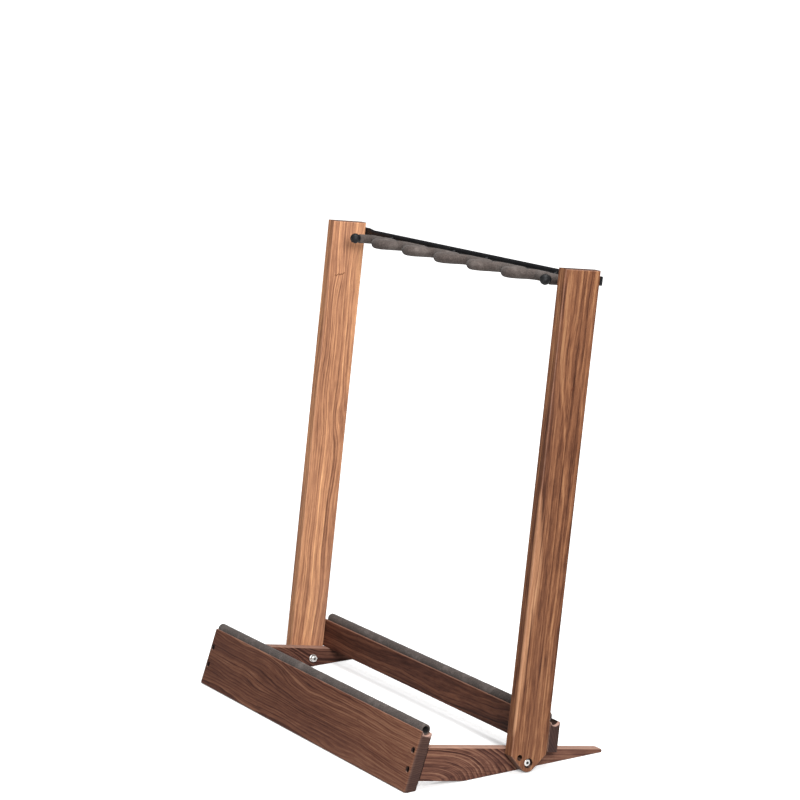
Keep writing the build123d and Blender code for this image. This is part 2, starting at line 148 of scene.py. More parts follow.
class Nodes:
    """A material with one Principled shader and methods that add nodes."""

    def __init__(self, name):
        self.mat = bpy.data.materials.new(name)
        self.mat.use_nodes = True
        self.tree = self.mat.node_tree
        self.tree.nodes.clear()
        self.out = self.new("OutputMaterial")
        self.bsdf = self.new("BsdfPrincipled")
        self.link(self.bsdf.outputs[0], self.out.inputs[0])
        coords = self.new("TexCoord")
        self.point = Value(self, coords.outputs["Object"])
        self.normal = Value(self, coords.outputs["Normal"])

    def new(self, kind):
        return self.tree.nodes.new("ShaderNode" + kind)

    def link(self, source, target):
        self.tree.links.new(source, target)

    def put(self, socket, value):
        if isinstance(value, Value):
            self.link(value.socket, socket)
            return
        if isinstance(value, tuple) and len(value) == 3 and len(socket.default_value) == 4:
            value = (*value, 1.0)
        socket.default_value = value

    def math(self, operation, *terms, clamp=False):
        node = self.new("Math")
        node.operation, node.use_clamp = operation, clamp
        for socket, term in zip(node.inputs, terms):
            self.put(socket, term)
        return Value(self, node.outputs[0])

    def vec(self, operation, *terms):
        node = self.new("VectorMath")
        node.operation = operation
        for socket, term in zip(node.inputs, terms):
            self.put(socket, term)
        return Value(self, node.outputs["Value" if operation == "LENGTH" else "Vector"])

    def split(self, vector):
        node = self.new("SeparateXYZ")
        self.put(node.inputs[0], vector)
        return [Value(self, socket) for socket in node.outputs]

    def join(self, x, y, z):
        node = self.new("CombineXYZ")
        for socket, value in zip(node.inputs, (x, y, z)):
            self.put(socket, value)
        return Value(self, node.outputs[0])

    def mapping(self, vector, origin, turn):
        node = self.new("Mapping")
        node.vector_type = "TEXTURE"
        self.put(node.inputs["Vector"], vector)
        node.inputs["Location"].default_value = origin
        node.inputs["Rotation"].default_value = turn
        return Value(self, node.outputs[0])

    def noise(self, vector, scale=1.0, detail=2.0, rough=0.5, distort=0.0,
              stretch=None, shift=None, output="Fac"):
        if stretch is not None:
            vector = self.vec("MULTIPLY", vector, stretch)
        if shift is not None:
            vector = self.vec("ADD", vector, shift)
        node = self.new("TexNoise")
        self.put(node.inputs["Vector"], vector)
        node.inputs["Scale"].default_value = scale
        node.inputs["Detail"].default_value = detail
        node.inputs["Roughness"].default_value = rough
        node.inputs["Distortion"].default_value = distort
        return Value(self, node.outputs[output])

    def ramp(self, fac, *stops):
        """Colour ramp; each stop is (position, colour or grey level)."""
        node = self.new("ValToRGB")
        elements = node.color_ramp.elements
        while len(elements) < len(stops):
            elements.new(0.5)
        for element, (position, colour) in zip(elements, stops):
            if isinstance(colour, float):
                colour = (colour, colour, colour)
            element.position = position
            element.color = (*colour, 1.0)
        self.put(node.inputs[0], fac)
        return Value(self, node.outputs[0])

    def mix(self, fac, first, second, mode="MIX"):
        node = self.new("Mix")
        node.data_type, node.blend_type = "RGBA", mode
        node.clamp_factor = True
        self.put(node.inputs[0], fac)
        self.put(node.inputs[6], first)
        self.put(node.inputs[7], second)
        return Value(self, node.outputs[2])

    def smooth(self, value, lo, hi, out_lo=0.0, out_hi=1.0):
        """Smoothstep from out_lo at lo to out_hi at hi."""
        node = self.new("MapRange")
        node.interpolation_type = "SMOOTHSTEP"
        self.put(node.inputs[0], value)
        for i, number in enumerate((lo, hi, out_lo, out_hi)):
            node.inputs[i + 1].default_value = number
        return Value(self, node.outputs[0])

    def bell(self, square):
        return self.math("EXPONENT", square * -1.0)

    def radial(self, first, second, centre_first, centre_second):
        """Distance from a centre in the plane of two coordinates."""
        first = first - centre_first
        second = second - centre_second
        return self.math("SQRT", first * first + second * second)

    def curve(self, x, points, span):
        """Smooth curve through points (x, y), |y| < span / 2."""
        lo, hi = points[0][0], points[-1][0]
        node = self.new("FloatCurve")
        self.put(node.inputs["Value"], self.math("DIVIDE", x - lo, hi - lo, clamp=True))
        knots = node.mapping.curves[0].points
        places = [((px - lo) / (hi - lo), (py + span / 2) / span) for px, py in points]
        knots[0].location = places[0]
        knots[-1].location = places[-1]
        for place in places[1:-1]:
            knots.new(*place)
        node.mapping.update()
        return Value(self, node.outputs[0]) * span - span / 2

    def bump(self, height, distance, strength=1.0):
        node = self.new("Bump")
        self.put(node.inputs["Height"], height)
        node.inputs["Distance"].default_value = distance
        node.inputs["Strength"].default_value = strength
        return Value(self, node.outputs[0])

    def finish(self, **settings):
        """Set the Principled inputs (underscores stand for spaces); return the material."""
        for key, value in settings.items():
            self.put(self.bsdf.inputs[key.replace("_", " ")], value)
        return self.mat


# ---------------------------------------------------------------------------
# walnut: growth rings cut by the board, streaks, fibre, pores, knots, sapwood
# ---------------------------------------------------------------------------
CURVE_SPAN = 0.09           # range of the curves drawn across a board

HEARTWOOD = ((0.0, (0.045, 0.018, 0.012)), (0.26, (0.098, 0.041, 0.026)),
             (0.50, (0.185, 0.082, 0.049)), (0.76, (0.300, 0.142, 0.080)),
             (1.0, (0.440, 0.240, 0.135)))
SAPWOOD = (0.0, (0.28, 0.125, 0.068)), (0.5, (0.47, 0.235, 0.125)), (1.0, (0.60, 0.34, 0.19))
# darkness across one ring: sharp dark latewood at its outer edge
RING_PROFILE = (0.0, 0.45), (0.12, 0.05), (0.62, 0.34), (0.88, 0.88), (0.97, 1.0)
GREYISH = (0.160, 0.080, 0.062)
PORE = (0.030, 0.013, 0.009)
SHAKE = (0.090, 0.028, 0.014)
# painted shade inside bores through the wood
HOLE_SHADE = (0.016, 0.009, 0.007)
# painted top light: the colour that +y-facing surfaces are lightened toward
TOP_LIGHT_COLOUR = (0.450, 0.275, 0.210)
END_EARLY, END_LATE = (0.044, 0.028, 0.026), (0.030, 0.019, 0.018)
RUBBED = (0.42, 0.24, 0.17)
# painted highlight: the lit eased rim of a groove at the board's ends
RIM_HIGHLIGHT = (0.480, 0.300, 0.245)


class Board(Nodes):
    """Walnut in a board's own axes: x along the grain, y across it, z through the board."""

    def __init__(self, name, seed, origin, along, across, through):
        super().__init__(name)
        self.seed = seed
        side = 1.0 if along.cross(across).dot(through) > 0 else -1.0
        turn = Matrix((along, across, through * side)).transposed().to_euler()
        self.board = self.mapping(self.point, origin, turn)
        if side < 0:
            self.board = self.vec("MULTIPLY", self.board, (1.0, 1.0, -1.0))
        self.facing = self.mapping(self.normal, (0, 0, 0), turn)
        self.x, self.y, self.z = self.split(self.board)

    def seeded(self, *factors):
        return tuple(self.seed * factor for factor in factors)

    def find_rings(self, pith, tilt, warp, drop, knots):
        """Distance from the stem's wandering middle, and angle round it."""
        shift = self.seeded(3.71, 1.93, 5.17)
        waves = self.noise(self.board, stretch=(2.4, 9.0, 9.0), shift=shift, output="Color")
        ripples = self.noise(self.board, stretch=(8.0, 30.0, 30.0), shift=shift, output="Color")
        wave_y, wave_z, _ = self.split(waves)
        ripple_y, ripple_z, _ = self.split(ripples)

        def offset(place, middle, slope, wave, ripple):
            wander = centred(wave, 0.034 * warp) + centred(ripple, 0.0085 * warp)
            return (place + -middle) + (self.x * slope + wander)

        off_y = offset(self.y, pith[0], tilt[0], wave_y, ripple_y)
        off_z = offset(self.z, pith[1], tilt[1], wave_z, ripple_z)
        square = off_y * off_y + off_z * off_z
        if drop is not None:
            start, end, depth = drop
            sink = self.smooth(self.x, lo=start, hi=end, out_hi=depth)
            square = square + sink * sink
        self.radius = self.math("SQRT", square)
        for knot_x, knot_y, length, width, push in knots:
            along = (self.x - knot_x) / length
            across = (self.y - knot_y) / width
            self.radius = self.radius + self.bell(along * along + across * across) * push
        self.angle = self.math("ARCTAN2", off_y, self.math("ABSOLUTE", off_z))

    def find_grain(self, ring, ring_amp, fine, tone, contrast, shade, lines):
        """Lightness of the grain, 0 dark to 1 pale, and the layers it is made of."""
        seed, board = self.seed, self.board
        count = self.radius / ring
        across_ring = self.math("FRACT", count)
        number = self.math("FLOOR", count)
        random = self.new("TexWhiteNoise")
        random.noise_dimensions = "1D"
        self.put(random.inputs["W"], number + seed * 13.7)
        ring_tone = Value(self, random.outputs["Value"])
        self.profile = self.ramp(across_ring, *RING_PROFILE)

        # line, wide and fleck follow the rings; broad, fibre and pore follow the board
        stem = self.join(self.x, self.angle * 0.03, self.radius)
        self.line = self.noise(stem, detail=3.0, rough=0.60, stretch=(1.3, 30.0, 330.0),
                               shift=self.seeded(1.0, 4.1, 9.3))
        wide = self.noise(stem, stretch=(1.0, 16.0, 85.0), shift=self.seeded(5.0, 1.0, 2.2))
        fleck = self.noise(self.join(self.x, self.angle * 0.08, self.radius), detail=4.0,
                           rough=0.68, stretch=(26.0, 90.0, 460.0),
                           shift=self.seeded(4.4, 2.9, 6.6))
        broad = self.noise(board, distort=0.2, stretch=(1.6, 13.0, 13.0),
                           shift=self.seeded(2.3, 7.1, 1.0))
        self.fibre = self.noise(board, detail=3.0, rough=0.6, stretch=(9.0, 900.0, 900.0),
                                shift=self.seeded(8.0, 0.0, 1.0))
        pore = self.noise(board, detail=1.0, stretch=(62.0, 2300.0, 2300.0),
                          shift=self.seeded(0.0, 5.0, 1.0))
        self.pores = self.smooth(pore, lo=0.62, hi=0.73)
        self.pores = self.pores * self.smooth(across_ring, lo=0.95, hi=0.15, out_lo=0.35)

        # each ring darkens by its own amount, then every layer adds its span of lightness
        ring_depth = (ring_tone * 1.0 + 0.45) * (-0.42 * ring_amp)
        light = (self.profile - 0.42) * ring_depth
        for layer, span in ((ring_tone, 0.16 * ring_amp), (self.line, 1.45 * fine),
                            (wide, 0.70), (fleck, 1.15 * fine), (broad, 0.70),
                            (self.fibre, 0.60 * fine)):
            light = light + centred(layer, span)
        if shade is not None:
            light = light + self.curve(self.x, shade, span=1.0)
        light = light * contrast + (0.5 + tone)
        fade = 0.03     # length over which a drawn line fades at its ends
        for points, width, change in lines:
            off = (self.y - self.curve(self.x, points, CURVE_SPAN)) / width
            hit = self.bell(off * off)
            start, end = points[0][0], points[-1][0]
            inside = (self.smooth(self.x, lo=start, hi=start + fade)
                      * self.smooth(self.x, lo=end, hi=end - fade))
            light = light + (hit * inside) * change
        self.light = light

    def heartwood(self, tint):
        heart = self.ramp(self.light, *HEARTWOOD)
        hue = self.noise(self.board, stretch=(2.0, 16.0, 16.0),
                         shift=(self.seed * 6.0, self.seed, 3.0))
        heart = self.mix(self.smooth(hue, lo=0.40, hi=0.75, out_hi=0.30), heart, GREYISH)
        return self.mix(1.0, heart, tint, "MULTIPLY")

    def add_sapwood(self, colour, edge_curve):
        """Pale wood below a curve across the board, near its +z face."""
        limit = self.curve(self.x, edge_curve, CURVE_SPAN)
        edge = (limit - self.y) + centred(self.line, 0.010)
        amount = self.smooth(edge, lo=-0.0018, hi=0.0050)
        deep = (self.z - (HALF_THICK - 0.0050)) + centred(self.line, 0.004)
        amount = amount * self.smooth(deep, lo=-0.0010, hi=0.0020)
        pale = self.ramp(self.light, *SAPWOOD)
        return self.mix(amount * 0.80, colour, pale)

    def add_shake(self, colour, shake_x, shake_y, size, slope, thick):
        """A short jagged crack across the grain."""
        jag = self.noise(self.join(0.0, self.y * 320.0, 0.0), rough=0.6,
                         shift=(shake_x * 90.0, shake_y * 70.0, 0.0))
        along = self.y - shake_y
        path = along * slope + centred(jag, 0.008)
        off = ((self.x - shake_x) - path) / thick
        hit = self.bell(off * off)
        hit = hit * self.smooth(self.math("ABSOLUTE", along), lo=size, hi=size * 0.55)
        return self.mix(hit * 0.85, colour, SHAKE)

    def add_hole_shade(self, colour, hole_x, hole_y, radius):
        """Painted shade, near black, inside a bore; none at the two faces."""
        away = self.radial(self.x, self.y, hole_x, hole_y)
        bore = (self.smooth(away, lo=radius + 0.0011, hi=radius + 0.0003)
                * self.smooth(self.math("ABSOLUTE", self.z),
                              lo=HALF_THICK - 0.0003, hi=HALF_THICK - 0.0014))
        return self.mix(bore * 0.93, colour, HOLE_SHADE)

    def add_top_light_and_wear(self, colour, top_light, wear):
        """Painted top light on +y-facing surfaces, darker and greyer end grain, and eased edges
        rubbed lighter.
        """
        # painted light: surfaces facing +y across the board made paler, standing for the overhead
        # light
        if top_light > 0:
            _, across, _ = self.split(self.facing)
            colour = self.mix(self.smooth(across, lo=0.55, hi=0.95, out_hi=top_light), colour, TOP_LIGHT_COLOUR)
        face_x, face_y, face_z = self.split(self.vec("ABSOLUTE", self.facing))
        self.end = self.smooth(face_x, lo=0.30, hi=0.85)
        grey = self.mix(self.smooth(self.profile, lo=0.1, hi=0.9), END_EARLY, END_LATE)
        colour = self.mix(self.end * 0.84, colour, grey)
        # on an eased edge no component of the normal is near 1
        largest = self.math("MAXIMUM", face_x, self.math("MAXIMUM", face_y, face_z))
        rub = self.smooth(largest, lo=0.985, hi=0.80)
        patches = self.noise(self.board, detail=3.0, rough=0.6, stretch=(30.0, 160.0, 160.0))
        self.rub = rub * self.smooth(patches, lo=0.30, hi=0.62, out_lo=0.45)
        return self.mix(self.rub * (0.30 * wear), colour, RUBBED)

    def add_groove(self, colour, y, z, ends, groove_colour, reach, flat):
        """A groove along x filled with a given colour (near black on the rear board: painted
        shadow), with a painted highlight on its lip and inside near the board's ends.
        """
        away = self.radial(self.y, self.z, y, z)
        # painted highlight inside the groove close to the board's ends
        end_highlight = self.smooth(self.math("ABSOLUTE", self.x),
                          lo=ends - reach - 0.0014, hi=ends - reach)
        inside = self.mix(end_highlight, groove_colour, RIM_HIGHLIGHT)
        cover = self.smooth(away, lo=GROOVE_R + 0.0005, hi=GROOVE_R + 0.0001, out_hi=0.90)
        colour = self.mix(cover, colour, inside)
        # painted highlight on the groove's lip close to the board's ends
        lip_highlight = self.smooth(away, lo=GROOVE_R + 0.0018, hi=GROOVE_R + 0.0004)
        if flat:
            above = self.smooth(self.y, lo=y - GROOVE_R - 0.0016, hi=y - GROOVE_R - 0.0002)
            lip_highlight = self.math("MAXIMUM", lip_highlight, above)
        lip_highlight = lip_highlight * self.smooth(self.math("ABSOLUTE", self.x), lo=ends - 0.0008, hi=ends - 0.0002)
        return self.mix(lip_highlight * 0.55, colour, RIM_HIGHLIGHT)


def walnut(name, seed, place, pith, tilt, ring, tone, contrast, tint, warp=1.0, ring_amp=1.0,
           fine=1.0, wear=1.0, top_light=0.0, drop=None, knots=(), shade=None, lines=(), sap=None,
           shakes=(), holes=(), groove=None):
    """Walnut for one board. x, y and z below are the board's own axes.

    place   origin, then the directions along, across and through the board
    pith    (y, z) of the stem's middle; tilt is its drift per metre of x
    ring    ring spacing; ring_amp its strength, warp its waviness, fine the small grain
    drop    (start x, end x, depth) over which the cut leaves the stem's middle
    knots   (x, y, length, width, push on the rings)
    shade   curve (x, lightness); lines are (curve (x, y), width, lightness)
    sap     curve (x, y) of the sapwood's edge
    shakes  (x, y, half length, slope, thickness); holes are (x, y, radius) of bores given painted
    shade inside
    """
    net = Board(name, seed, *place)
    net.find_rings(pith, tilt, warp, drop, knots)
    net.find_grain(ring, ring_amp, fine, tone, contrast, shade, lines)
    colour = net.heartwood(tint)
    if sap is not None:
        colour = net.add_sapwood(colour, sap)
    colour = net.mix(net.pores * 0.55, colour, PORE)
    for shake in shakes:
        colour = net.add_shake(colour, *shake)
    for hole in holes:
        colour = net.add_hole_shade(colour, *hole)
    colour = net.add_top_light_and_wear(colour, top_light, wear)
    if groove is not None:
        colour = net.add_groove(colour, **groove)
    rough = 0.46 + net.fibre * 0.14 + net.pores * 0.20 - net.rub * 0.08 + net.end * 0.12
    height = net.fibre * 0.35 + net.pores * -1.0 + net.profile * 0.22
    return net.finish(Base_Color=colour, Roughness=rough, Specular_IOR_Level=0.07,
                      Normal=net.bump(height, distance=0.00014, strength=0.7))


# ---------------------------------------------------------------------------
# the other materials
# ---------------------------------------------------------------------------
def foam_material(name, shaded_bores):
    """Mottled open-cell foam, with painted shade, near black, inside each bore (centre, radius)
    along X.
    """
    base = (0.070, 0.055, 0.049)
    dark, pale, pit_colour = (tuple(c * gain for c in base) for gain in (0.52, 1.75, 0.4))
    dust_colour, bore_shade_colour = (0.34, 0.30, 0.28), (0.004, 0.0025, 0.002)
    net = Nodes(name)
    mottle = net.noise(net.point, scale=380.0, detail=4.0, rough=0.65)
    broad = net.noise(net.point, scale=34.0, detail=3.0, rough=0.6)
    cell = net.new("TexVoronoi")
    net.put(cell.inputs["Vector"], net.point)
    cell.inputs["Scale"].default_value = 1500.0
    pit = net.smooth(Value(net, cell.outputs["Distance"]), lo=0.42, hi=0.10)
    colour = net.ramp(mottle * 0.75 + broad * 0.25, (0.28, dark), (0.50, base), (0.74, pale))
    colour = net.mix(pit * 0.35, colour, pit_colour)
    dust = net.smooth(broad, lo=0.52, hi=0.72)
    colour = net.mix(dust * 0.16, colour, dust_colour)
    _, y, z = net.split(net.point)
    # painted shade inside each bore
    for centre, radius in shaded_bores:
        away = net.radial(y, z, centre.y, centre.z)
        inside = net.smooth(away, lo=radius + 0.0007, hi=radius + 0.0002, out_hi=0.97)
        colour = net.mix(inside, colour, bore_shade_colour)
    return net.finish(Base_Color=colour, Roughness=0.80 + mottle * 0.15,
                      Normal=net.bump(mottle * 0.9 + pit * -0.6, distance=0.00028, strength=0.8),
                      Specular_IOR_Level=0.18, Sheen_Weight=0.10, Sheen_Roughness=0.5)


def powder_coat(name):
    """Black, with a fine orange peel and paler scuffs."""
    scuff_colour = (0.045, 0.043, 0.041)
    net = Nodes(name)
    peel = net.noise(net.point, scale=900.0)
    broad = net.noise(net.point, scale=40.0, detail=3.0, rough=0.6)
    scuff = net.noise(net.point, detail=4.0, rough=0.7, stretch=(30.0, 260.0, 260.0))
    scuff = net.smooth(scuff, lo=0.66, hi=0.76)
    colour = net.ramp(broad, (0.3, (0.004, 0.004, 0.005)), (0.7, (0.010, 0.010, 0.011)))
    colour = net.mix(scuff * 0.5, colour, scuff_colour)
    return net.finish(Base_Color=colour, Roughness=0.44 + peel * 0.16 + scuff * 0.18,
                      Normal=net.bump(peel, distance=0.00007, strength=0.6),
                      Specular_IOR_Level=0.14)


def black_rubber(name):
    dust_colour = (0.045, 0.044, 0.043)
    net = Nodes(name)
    fine = net.noise(net.point, scale=1400.0, rough=0.6)
    broad = net.noise(net.point, scale=120.0, detail=3.0, rough=0.6)
    colour = net.ramp(broad, (0.3, (0.004, 0.004, 0.005)), (0.7, (0.011, 0.011, 0.012)))
    dust = net.smooth(fine, lo=0.60, hi=0.72)
    colour = net.mix(dust * 0.20, colour, dust_colour)
    return net.finish(Base_Color=colour, Roughness=0.42 + broad * 0.22,
                      Normal=net.bump(fine, distance=0.00006, strength=0.5),
                      Specular_IOR_Level=0.22)


def turned_steel(name, centre):
    """Zinc-plated steel turned about an axis along X through centre, with painted shade at its
    middle.
    """
    middle_shade_colour = (0.16, 0.155, 0.15)
    net = Nodes(name)
    x, y, z = net.split(net.point)
    radius = net.radial(y, z, centre.y, centre.z)
    marks = net.noise(net.join(radius * 5200.0, x * 2200.0, 0.0), rough=0.6)
    broad = net.noise(net.point, scale=300.0, detail=3.0, rough=0.6)
    colour = net.ramp(broad, (0.3, (0.58, 0.57, 0.55)), (0.7, (0.80, 0.80, 0.79)))
    # painted shade at the middle of the bolt head, where its socket is
    outside = net.smooth(radius, lo=0.0021, hi=0.0027)
    colour = net.mix(1.0 - outside, colour, middle_shade_colour, "MULTIPLY")
    return net.finish(Base_Color=colour, Metallic=1.0,
                      Roughness=0.20 + marks * 0.18 + broad * 0.08,
                      Normal=net.bump(marks, distance=0.00005, strength=0.5))


def black_oxide(name):
    rub_colour = (0.10, 0.095, 0.09)
    net = Nodes(name)
    broad = net.noise(net.point, scale=260.0, detail=3.0, rough=0.6)
    fine = net.noise(net.point, scale=2400.0, rough=0.6)
    colour = net.ramp(broad, (0.3, (0.008, 0.008, 0.008)), (0.72, (0.022, 0.021, 0.020)))
    rub = net.smooth(fine, lo=0.60, hi=0.74)
    colour = net.mix(rub * 0.3, colour, rub_colour)
    return net.finish(Base_Color=colour, Metallic=0.85, Roughness=0.40 + broad * 0.22,
                      Normal=net.bump(fine, distance=0.00004, strength=0.5))


def nylon(name):
    net = Nodes(name)
    broad = net.noise(net.point, scale=200.0, detail=3.0, rough=0.6)
    colour = net.ramp(broad, (0.3, (0.62, 0.60, 0.55)), (0.7, (0.80, 0.79, 0.75)))
    return net.finish(Base_Color=colour, Roughness=0.38 + broad * 0.2,
                      Normal=net.bump(broad, distance=0.00005, strength=0.4))


# ---------------------------------------------------------------------------
# materials onto the CAD pieces
# ---------------------------------------------------------------------------
def paint(material, *pieces):
    for piece in pieces:
        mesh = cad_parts[piece].data
        mesh.materials.clear()
        mesh.materials.append(material)
        for polygon in mesh.polygons:
            polygon.material_index = 0


def foot_place(side):
    origin = FOOT.at(side * (BASE_HALF - HALF_THICK), FOOT_MID_BACK, FOOT_MID_UP)
    return origin, FOOT.back, FOOT.up, X_AXIS


def post_place(side):
    origin = POST.at(side * (POST_IN + HALF_THICK), POST_MID_BACK, POST_MID_UP)
    return origin, POST.up, POST.back, X_AXIS


POST_HOLES = [(LOCK_UP - POST_MID_UP, LOCK_BACK - POST_MID_BACK, LOCK_R),
              (PIVOT_UP - POST_MID_UP, PIVOT_BACK - POST_MID_BACK, PIVOT_R)]

boards = {
    "front_board": walnut(
        "walnut_front", 1.3,
        (FRONT.at(0, HALF_THICK, FRONT_H / 2), X_AXIS, FRONT.up, FRONT.back),
        pith=(-0.078, 0.048), tilt=(0.045, 0.02), ring=3.1 * MM, tone=0.02, contrast=0.85,
        tint=(0.54, 0.47, 0.50), warp=1.1, ring_amp=0.85, fine=0.9, wear=0.25, top_light=0.50,
        knots=[(-0.05, 0.012, 0.070, 0.022, 0.006), (0.17, -0.018, 0.060, 0.020, -0.005)],
        # shade rising toward +x is painted light: the right end made lighter as if lit more
        shade=[(-0.34, 0.02), (-0.20, 0.0), (-0.05, -0.06), (0.08, -0.03), (0.20, 0.18),
               (0.34, 0.28)],
        holes=[(side * (BASE_HALF - HALF_THICK), up - FRONT_H / 2, SCREW_R)
               for side in (-1, 1) for up in SCREW_UPS],
        groove=dict(y=FRONT_H / 2 + PAD_RISE, z=-PAD_FORWARD, ends=BASE_HALF,
                    groove_colour=(0.270, 0.160, 0.125), reach=3 * MM, flat=True)),
    "rear_board": walnut(
        "walnut_rear", 4.2, (POST.at(0, REAR_BACK, REAR_MID), X_AXIS, POST.up, POST.back),
        # tone and tint lowered as painted shade, for the shadow this board lies in
        pith=(0.040, 0.050), tilt=(0.02, -0.03), ring=4.0 * MM, tone=-0.10, contrast=0.75,
        tint=(0.62, 0.54, 0.56), ring_amp=0.8, top_light=0.45,
        # near-black groove colour: painted shadow in the groove beyond the pad
        groove=dict(y=REAR_TOP + PAD_RISE - REAR_MID, z=0.0, ends=POST_OUT,
                    groove_colour=(0.012, 0.008, 0.007), reach=4.5 * MM, flat=False)),
    "left_foot": walnut(
        "walnut_left_foot", 6.7, foot_place(-1),
        pith=(-0.034, -0.006), tilt=(0.02, 0.01), ring=4.2 * MM, tone=-0.04, contrast=0.95,
        tint=(0.615, 0.595, 0.675), warp=0.6, top_light=0.45, drop=(-0.09, 0.04, 0.060)),
    "right_foot": walnut(
        "walnut_right_foot", 8.1, foot_place(1),
        pith=(-0.038, -0.004), tilt=(0.0, 0.01), ring=4.4 * MM, tone=-0.01, contrast=1.05,
        tint=(0.615, 0.595, 0.675), warp=0.95, ring_amp=1.20, top_light=0.68,
        drop=(-0.150, 0.040, 0.080),
        shade=[(-0.15, 0.0), (-0.04, 0.0), (0.02, -0.08), (0.05, -0.02), (0.07, 0.14),
               (0.20, 0.16)]),
    "left_post": walnut(
        "walnut_left_post", 2.9, post_place(-1),
        pith=(0.075, 0.085), tilt=(0.012, -0.02), ring=3.2 * MM, tone=0.10, contrast=0.70,
        # tint above 1 is painted light: this post made paler than its wood for the stronger light
        # on it
        tint=(2.15, 2.25, 2.05), warp=0.80, ring_amp=0.7,
        knots=[(0.286, -0.010, 0.030, 0.010, 0.004), (0.05, 0.010, 0.040, 0.012, -0.004)],
        shakes=[(0.286, -0.010, 0.012, 0.25, 0.0010)], holes=POST_HOLES),
    "right_post": walnut(
        "walnut_right_post", 5.6, post_place(1),
        pith=(0.085, -0.095), tilt=(0.010, 0.008), ring=2.7 * MM, tone=0.02, contrast=0.72,
        tint=(0.84, 0.76, 0.66), warp=0.50, ring_amp=0.80, fine=1.55,
        sap=[(-0.37, -0.040), (-0.325, -0.036), (-0.295, -0.0268), (-0.255, -0.0248),
             (-0.17, -0.0215), (-0.07, -0.0170), (-0.03, -0.0185), (0.03, -0.0250),
             (0.078, -0.034), (0.37, -0.042)],
        lines=[([(0.02, 0.012), (0.055, 0.007), (0.153, -0.004), (0.219, -0.017),
                 (0.328, -0.023), (0.372, -0.023)], 0.0019, 0.30),
               ([(0.15, -0.009), (0.219, -0.022), (0.328, -0.028), (0.372, -0.028)],
                0.0016, -0.30),
               ([(-0.30, -0.002), (-0.10, 0.004), (0.05, 0.002), (0.30, 0.009)],
                0.0014, -0.22),
               ([(-0.33, 0.013), (-0.10, 0.016), (0.12, 0.014), (0.33, 0.021)],
                0.0016, 0.20)],
        shakes=[(0.202, 0.004, 0.003, 1.0, 0.0020)],
        shade=[(-0.37, 0.36), (-0.30, 0.27), (-0.20, 0.12), (0.0, -0.09), (0.10, -0.11),
               (0.20, 0.02), (0.37, 0.12)],
        holes=POST_HOLES),
}
for piece, material in boards.items():
    paint(material, piece)
paint(turned_steel("zinc_steel", PIVOT),
      "left_pivot_bolt", "right_pivot_bolt", "pivot_steel_washers", "pivot_lock_nuts")
paint(powder_coat("black_powder_coat"), "neck_crossbar", "neck_yoke_rod", "yoke_studs")
paint(black_oxide("black_oxide"), "front_board_screws", "rear_board_screws", "crossbar_screws")
paint(nylon("nylon"), "pivot_spacer_washers")
foam = foam_material("foam", shaded_bores=((FRONT_PAD, PAD_BORE), (REAR_PAD, PAD_BORE)))
rubber = black_rubber("black_rubber")


# ---------------------------------------------------------------------------
# soft pieces
# ---------------------------------------------------------------------------
def add_object(name, mesh):
    obj = bpy.data.objects.new(name, mesh)
    bpy.context.scene.collection.objects.link(obj)
    return obj


def smooth_object(name, bm, sharp_angle=None):
    """Smooth-shaded object; edges bent more than sharp_angle are marked sharp."""
    bmesh.ops.recalc_face_normals(bm, faces=bm.faces)
    for face in bm.faces:
        face.smooth = True
    if sharp_angle is not None:
        for edge in bm.edges:
            faces = edge.link_faces
            if len(faces) == 2 and faces[0].normal.angle(faces[1].normal, 0) > sharp_angle:
                edge.smooth = False
    mesh = bpy.data.meshes.new(name)
    bm.to_mesh(mesh)
    bm.free()
    return add_object(name, mesh)


def install(obj, material, part, replaced):
    obj.data.materials.append(material)
    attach(obj, part)
    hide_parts(replaced)


def rounded_path(corners):
    """Points (x, back) through corners rounded to BEND, each with the sign of its turn."""
    corners = [np.array(corner, float) for corner in corners]
    path = []

    def straight(start, end):
        count = int(round(np.linalg.norm(end - start) / BEND_STEP))
        for i in range(count):
            path.append((start + (end - start) * i / count, 0.0))

    here = corners[0]
    for before, corner, after in zip(corners, corners[1:], corners[2:]):
        heading = corner - before
        heading /= np.linalg.norm(heading)
        leaving = after - corner
        leaving /= np.linalg.norm(leaving)
        turn = 1.0 if heading[0] * leaving[1] - heading[1] * leaving[0] > 0 else -1.0
        start = corner - heading * BEND
        straight(here, start)
        inward = np.array([-heading[1], heading[0]]) * turn
        centre = start + inward * BEND
        count = int(round(BEND * math.pi / 2 / BEND_STEP))
        for i in range(count):
            angle = math.pi / 2 * i / count
            path.append((centre - inward * BEND * math.cos(angle)
                         + heading * BEND * math.sin(angle), turn))
        here = corner + leaving * BEND
    straight(here, corners[-1])
    path.append((corners[-1], 0.0))
    return path


# tube skin: folds and flattening on bends, each flattening a share of the radius
TUBE_SEGMENTS = 40
FOLD_DEPTH, FOLD_PITCH, FOLD_WANDER = 0.30 * MM, 3.6 * MM, 1.3
FLATTEN_INSIDE, FLATTEN_OUTSIDE = 0.050, 0.030
LUMP_FREQUENCY, FINE_LUMP_FREQUENCY = 95.0, 260.0
BORE_WOBBLE = 0.02


